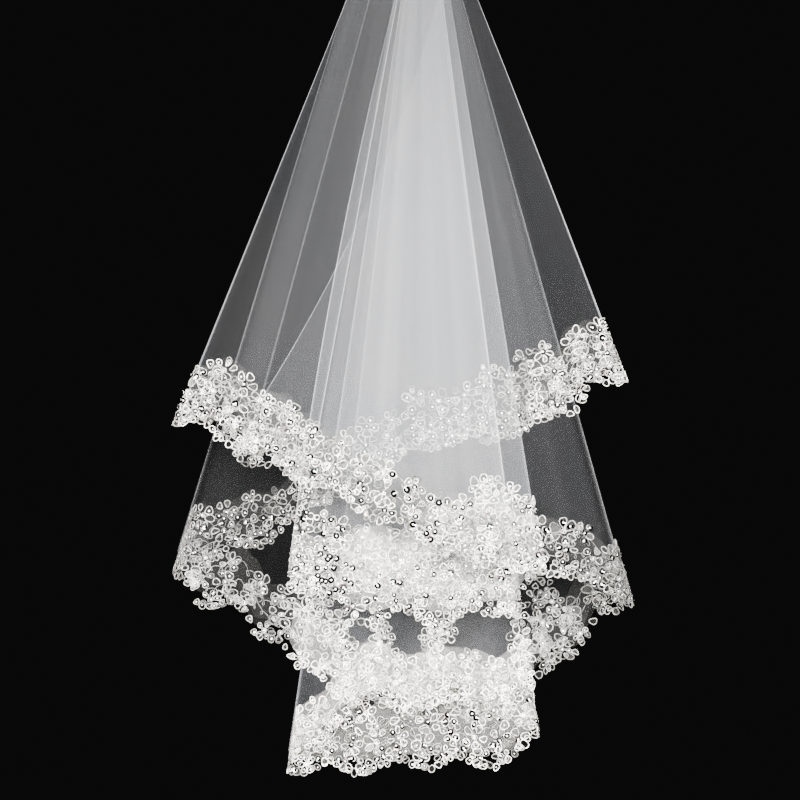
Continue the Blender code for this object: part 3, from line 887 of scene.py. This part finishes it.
def add_ground(cloth, node, start, end):
    """The net that the flowers are sewn to, and how high it is."""
    along = np.linspace(start, end, max(LEAST_STEPS, round((end - start) / GROUND_STEP)) + 1)
    arch = np.abs(np.sin(math.pi * along / FLOWER_ROWS[-1][1]))
    top = GROUND_TOP - scallop(along - start) + GROUND_ARCH * arch
    if node == "lower":
        share = (along - start) / (end - start)
        top += PANEL_RISE * ((share > PANEL_FIRST) & (share < PANEL_LAST))
    height = GROUND_LOW + (top - GROUND_LOW)[:, None] * np.linspace(0, 1, GROUND_ROWS)[None, :]
    drop = np.interp(along, cloth.along, cloth.drop)[:, None] - height
    wide = np.broadcast_to(along[:, None], drop.shape)
    points, _ = surface(cloth, wide, drop, LACE_OUT)
    veil = np.full(drop.shape, GROUND_VEILS.get(node, GROUND_VEIL))
    made = add_mesh(
        f"lace_ground_{node}", points, grid_faces(len(along), GROUND_ROWS), GROUND,
        uv=np.stack([wide, drop], axis=-1), attributes=[("veil", veil)],
    )
    return made, float(height.max() - height.min())


def add_cords(cloth, node, start, end, loops, a, b):
    """The loops and curls of cord as one mesh, with each point's random tone and painted shade."""
    lift = (loops["lift"] + LACE_OUT)[:, None] + CORD_RADIUS
    path, face = local_points(cloth, loops["along"], middle_drops(cloth, loops), a, b, lift)
    cords = [tube(path, face, CORD_RADIUS, CORD_SIDES, closed=True)]
    loops_dull = np.maximum(0, rng.uniform(*LOOP_DULL, len(loops)))
    tone_and_painted_shade = [np.repeat(loops_dull, LOOP_POINTS * CORD_SIDES)]
    for above, radius in CURL_ROWS:
        path, face = curls(cloth, start, end, above, radius)
        cords.append(tube(path, face, CURL_RADIUS, CORD_SIDES, closed=False))
        # The curls are painted in shade, to set them back behind the loops.
        tone_and_painted_shade.append(np.full(path.shape[1] * CORD_SIDES, CURL_SHADE))
    points, faces = joined(*cords)
    # Painted shade by place and node darkens the cord on top of the loops' random tone.
    tone_and_painted_shade = 1 - (1 - np.concatenate(tone_and_painted_shade)) * (1 - painted_shade(points, node))
    return add_mesh(f"lace_cords_{node}", points, faces, CORD, attributes=[("tone_and_painted_shade", tone_and_painted_shade)])


def add_petals(cloth, node, loops, a, b):
    """The net fillings of the loops that have one."""
    full = loops["veil"] > 0
    loops, a, b = loops[full], a[full], b[full]
    a = np.concatenate([a.mean(axis=1, keepdims=True), a], axis=1)
    b = np.concatenate([b.mean(axis=1, keepdims=True), b], axis=1)
    lift = (loops["lift"] + LACE_OUT)[:, None] + FILLING_LIFT
    points, _ = local_points(cloth, loops["along"], middle_drops(cloth, loops), a, b, lift)
    veil = np.broadcast_to(loops["veil"][:, None], points.shape[:2])
    return add_mesh(
        f"lace_petals_{node}", points, fan_faces(len(points), LOOP_POINTS), GROUND,
        uv=points[..., [0, 2]], attributes=[("veil", veil)],
    )


def add_lace(cloth, node, rests_on):
    """The edging of one node: its net ground, the corded flowers, their fillings, and the sequins."""
    first, last = cloth.spans[node]
    start, end = cloth.along[first], cloth.along[last]
    ground, height = add_ground(cloth, node, start, end)
    loops = np.concatenate([flower_loops(flower_places(start, end, node)), hem_rings(start, end)])
    a, b = outlines(loops)
    cords = add_cords(cloth, node, start, end, loops, a, b)
    petals = add_petals(cloth, node, loops, a, b)
    trim = [cords, petals, *add_sequins(cloth, node, loops, a.mean(axis=1), b.mean(axis=1))]
    for piece in (ground, *trim):
        dress(piece, f"lace_{node}")
    for net in (ground, petals):
        net.visible_shadow = False


# --------------------the band and the comb


def add_stitches(half):
    """Two rows of stitches along the band's faces, half its depth away."""
    starts = np.arange(BAND_LEFT + STITCH_INSET, BAND_RIGHT - STITCH, STITCH + STITCH_GAP)
    t = np.linspace(0, 1, STITCH_POINTS)
    paths = []
    for way in (-1, 1):
        for begin in starts:
            paths.append(np.column_stack([
                begin + STITCH * t,
                way * (half + STITCH_BULGE * np.sin(math.pi * t)),
                np.full(STITCH_POINTS, BAND_BASE + STITCH_RISE),
            ]))
    paths = np.array(paths)
    out = np.broadcast_to(np.array([0.0, 1.0, 0.0]), paths.shape)
    points, faces = tube(paths, out, STITCH_RADIUS, THREAD_SIDES, closed=False)
    return dress(add_mesh("band_stitches", points, faces, CORD), "gather_band")


def add_band():
    """The satin strip folded over the gathers, a little puckered, and its two rows of stitches."""
    half = BAND_HALF_DEPTH + BAND_WALL
    turn = np.linspace(0, math.pi, BAND_ARC_POINTS)
    arc = [(half * math.cos(t), BAND_ROOM + BAND_WALL * math.sin(t)) for t in turn]
    side = [(half, z) for z in np.linspace(BAND_BASE, BAND_ROOM, BAND_SIDE_POINTS)[:-1]]
    section = np.array(side + arc + [(-y, z) for y, z in reversed(side)])
    x = np.linspace(BAND_LEFT, BAND_RIGHT, BAND_COLUMNS)
    pucker = sum(np.sin(math.tau * (x / pitch + rng.random())) for pitch in PUCKER_PITCHES)
    pucker /= len(PUCKER_PITCHES)
    run = np.concatenate([[0], np.cumsum(np.linalg.norm(np.diff(section, axis=0), axis=1))])
    depth = section[None, :, 0] * (1 - PUCKER * (1 + pucker))[:, None]
    points = np.stack(np.broadcast_arrays(x[:, None], depth, section[None, :, 1]), axis=-1)
    uv = np.stack(np.broadcast_arrays(x[:, None], run[None, :]), axis=-1)
    band = add_mesh("satin_band", points, grid_faces(len(x), len(section)), SATIN, uv=uv)
    dress(band, "gather_band")
    stitches = add_stitches(half)


def add_comb_threads():
    """Thread wound round the comb's bar between its teeth, which holds it to the band."""
    near = BAND_HALF_DEPTH + BAND_WALL
    left = (BAND_LEFT + BAND_RIGHT - COMB_WIDTH) / 2
    pitch = (COMB_WIDTH - TOOTH_WIDTH) / (TOOTH_COUNT - 1)
    low, high = COMB_TOP - COMB_BAR - THREAD_OVER, COMB_TOP + THREAD_OVER
    far = near + COMB_GAP + COMB_THICK + THREAD_BEHIND
    start = near - THREAD_IN
    corners = ((start, low), (far, low), (far, (low + high) / 2), (far, high), (start, high))
    paths = []
    for gap in range(TOOTH_COUNT - 1):
        x = left + TOOTH_WIDTH / 2 + (gap + 0.5) * pitch
        for shift in THREAD_SHIFTS:
            slant = rng.uniform(-THREAD_SLANT, THREAD_SLANT)
            paths.append([(x + shift + slant * k / 4, y, z) for k, (y, z) in enumerate(corners)])
    paths = np.array(paths)
    out = np.broadcast_to(np.array([1.0, 0.0, 0.0]), paths.shape)
    points, faces = tube(paths, out, THREAD_RADIUS, THREAD_SIDES, closed=False)
    dress(add_mesh("comb_threads", points, faces, CORD))


# --------------------stage, light and camera


def add_floor():
    """A round pale floor below the veil."""
    bpy.ops.mesh.primitive_circle_add(
        vertices=FLOOR_SIDES, radius=FLOOR_RADIUS, fill_type="NGON", location=(0, 0, FLOOR_HEIGHT)
    )
    floor = bpy.context.object
    floor.name = "floor"
    floor.data.materials.append(floor_material())


def aim(thing, spot, target):
    """Puts a light or camera at a spot, looking at a target."""
    thing.location = spot
    thing.rotation_euler = (Vector(target) - Vector(spot)).to_track_quat("-Z", "Y").to_euler()


def add_light(name, spot, size, power):
    """A round soft light that the camera doesn't see."""
    light = bpy.data.lights.new(name, "AREA")
    light.shape = "DISK"
    light.size = size
    light.energy = power
    made = bpy.data.objects.new(name, light)
    made.visible_camera = False
    bpy.context.scene.collection.objects.link(made)
    aim(made, spot, LIT_SPOT)


def add_world():
    """The dark studio round the veil, and the picture's hard contrast."""
    world = bpy.data.worlds.new("dark_studio")
    world.use_nodes = True
    grey = (STUDIO_GREY, STUDIO_GREY, STUDIO_GREY, 1)
    world.node_tree.nodes["Background"].inputs["Color"].default_value = grey
    bpy.context.scene.world = world
    bpy.context.scene.view_settings.view_transform = "AgX"
    bpy.context.scene.view_settings.look = "AgX - Very High Contrast"


def add_camera():
    """The photograph's camera, level and square to the veil."""
    camera = bpy.data.cameras.new("camera")
    camera.sensor_width = SENSOR
    camera.lens = SENSOR * VIEW_DISTANCE / VIEW_WIDTH
    made = bpy.data.objects.new("camera", camera)
    bpy.context.scene.collection.objects.link(made)
    aim(made, (VIEW_X, -VIEW_DISTANCE, VIEW_Z), (VIEW_X, 0, VIEW_Z))
    bpy.context.scene.camera = made


add_camera()
TULLE = net_material("tulle", (0.86, 0.87, 0.9), (0.92, 0.92, 0.94), pitch=1.5, holes=0.85, threads=1.4)
GROUND = net_material("lace_net", (0.94, 0.915, 0.85), (0.97, 0.95, 0.9), pitch=1.3, holes=0.8, threads=1.6)
CORD, SEQUIN, BEAD, SATIN = cord_material(), sequin_material(), bead_material(), satin_material()
LOWER, UPPER = make_cloth(LOWER_TIER), make_cloth(UPPER_TIER)
for node in NODES:
    cloth = UPPER if node == "upper" else LOWER
    add_lace(cloth, node, add_tulle(cloth, node))
add_band()
add_comb_threads()
comb = bpy.data.objects["comb"]
comb.material_slots[0].material = comb_material()
add_floor()
for row in LIGHTS:
    add_light(*row)
add_world()
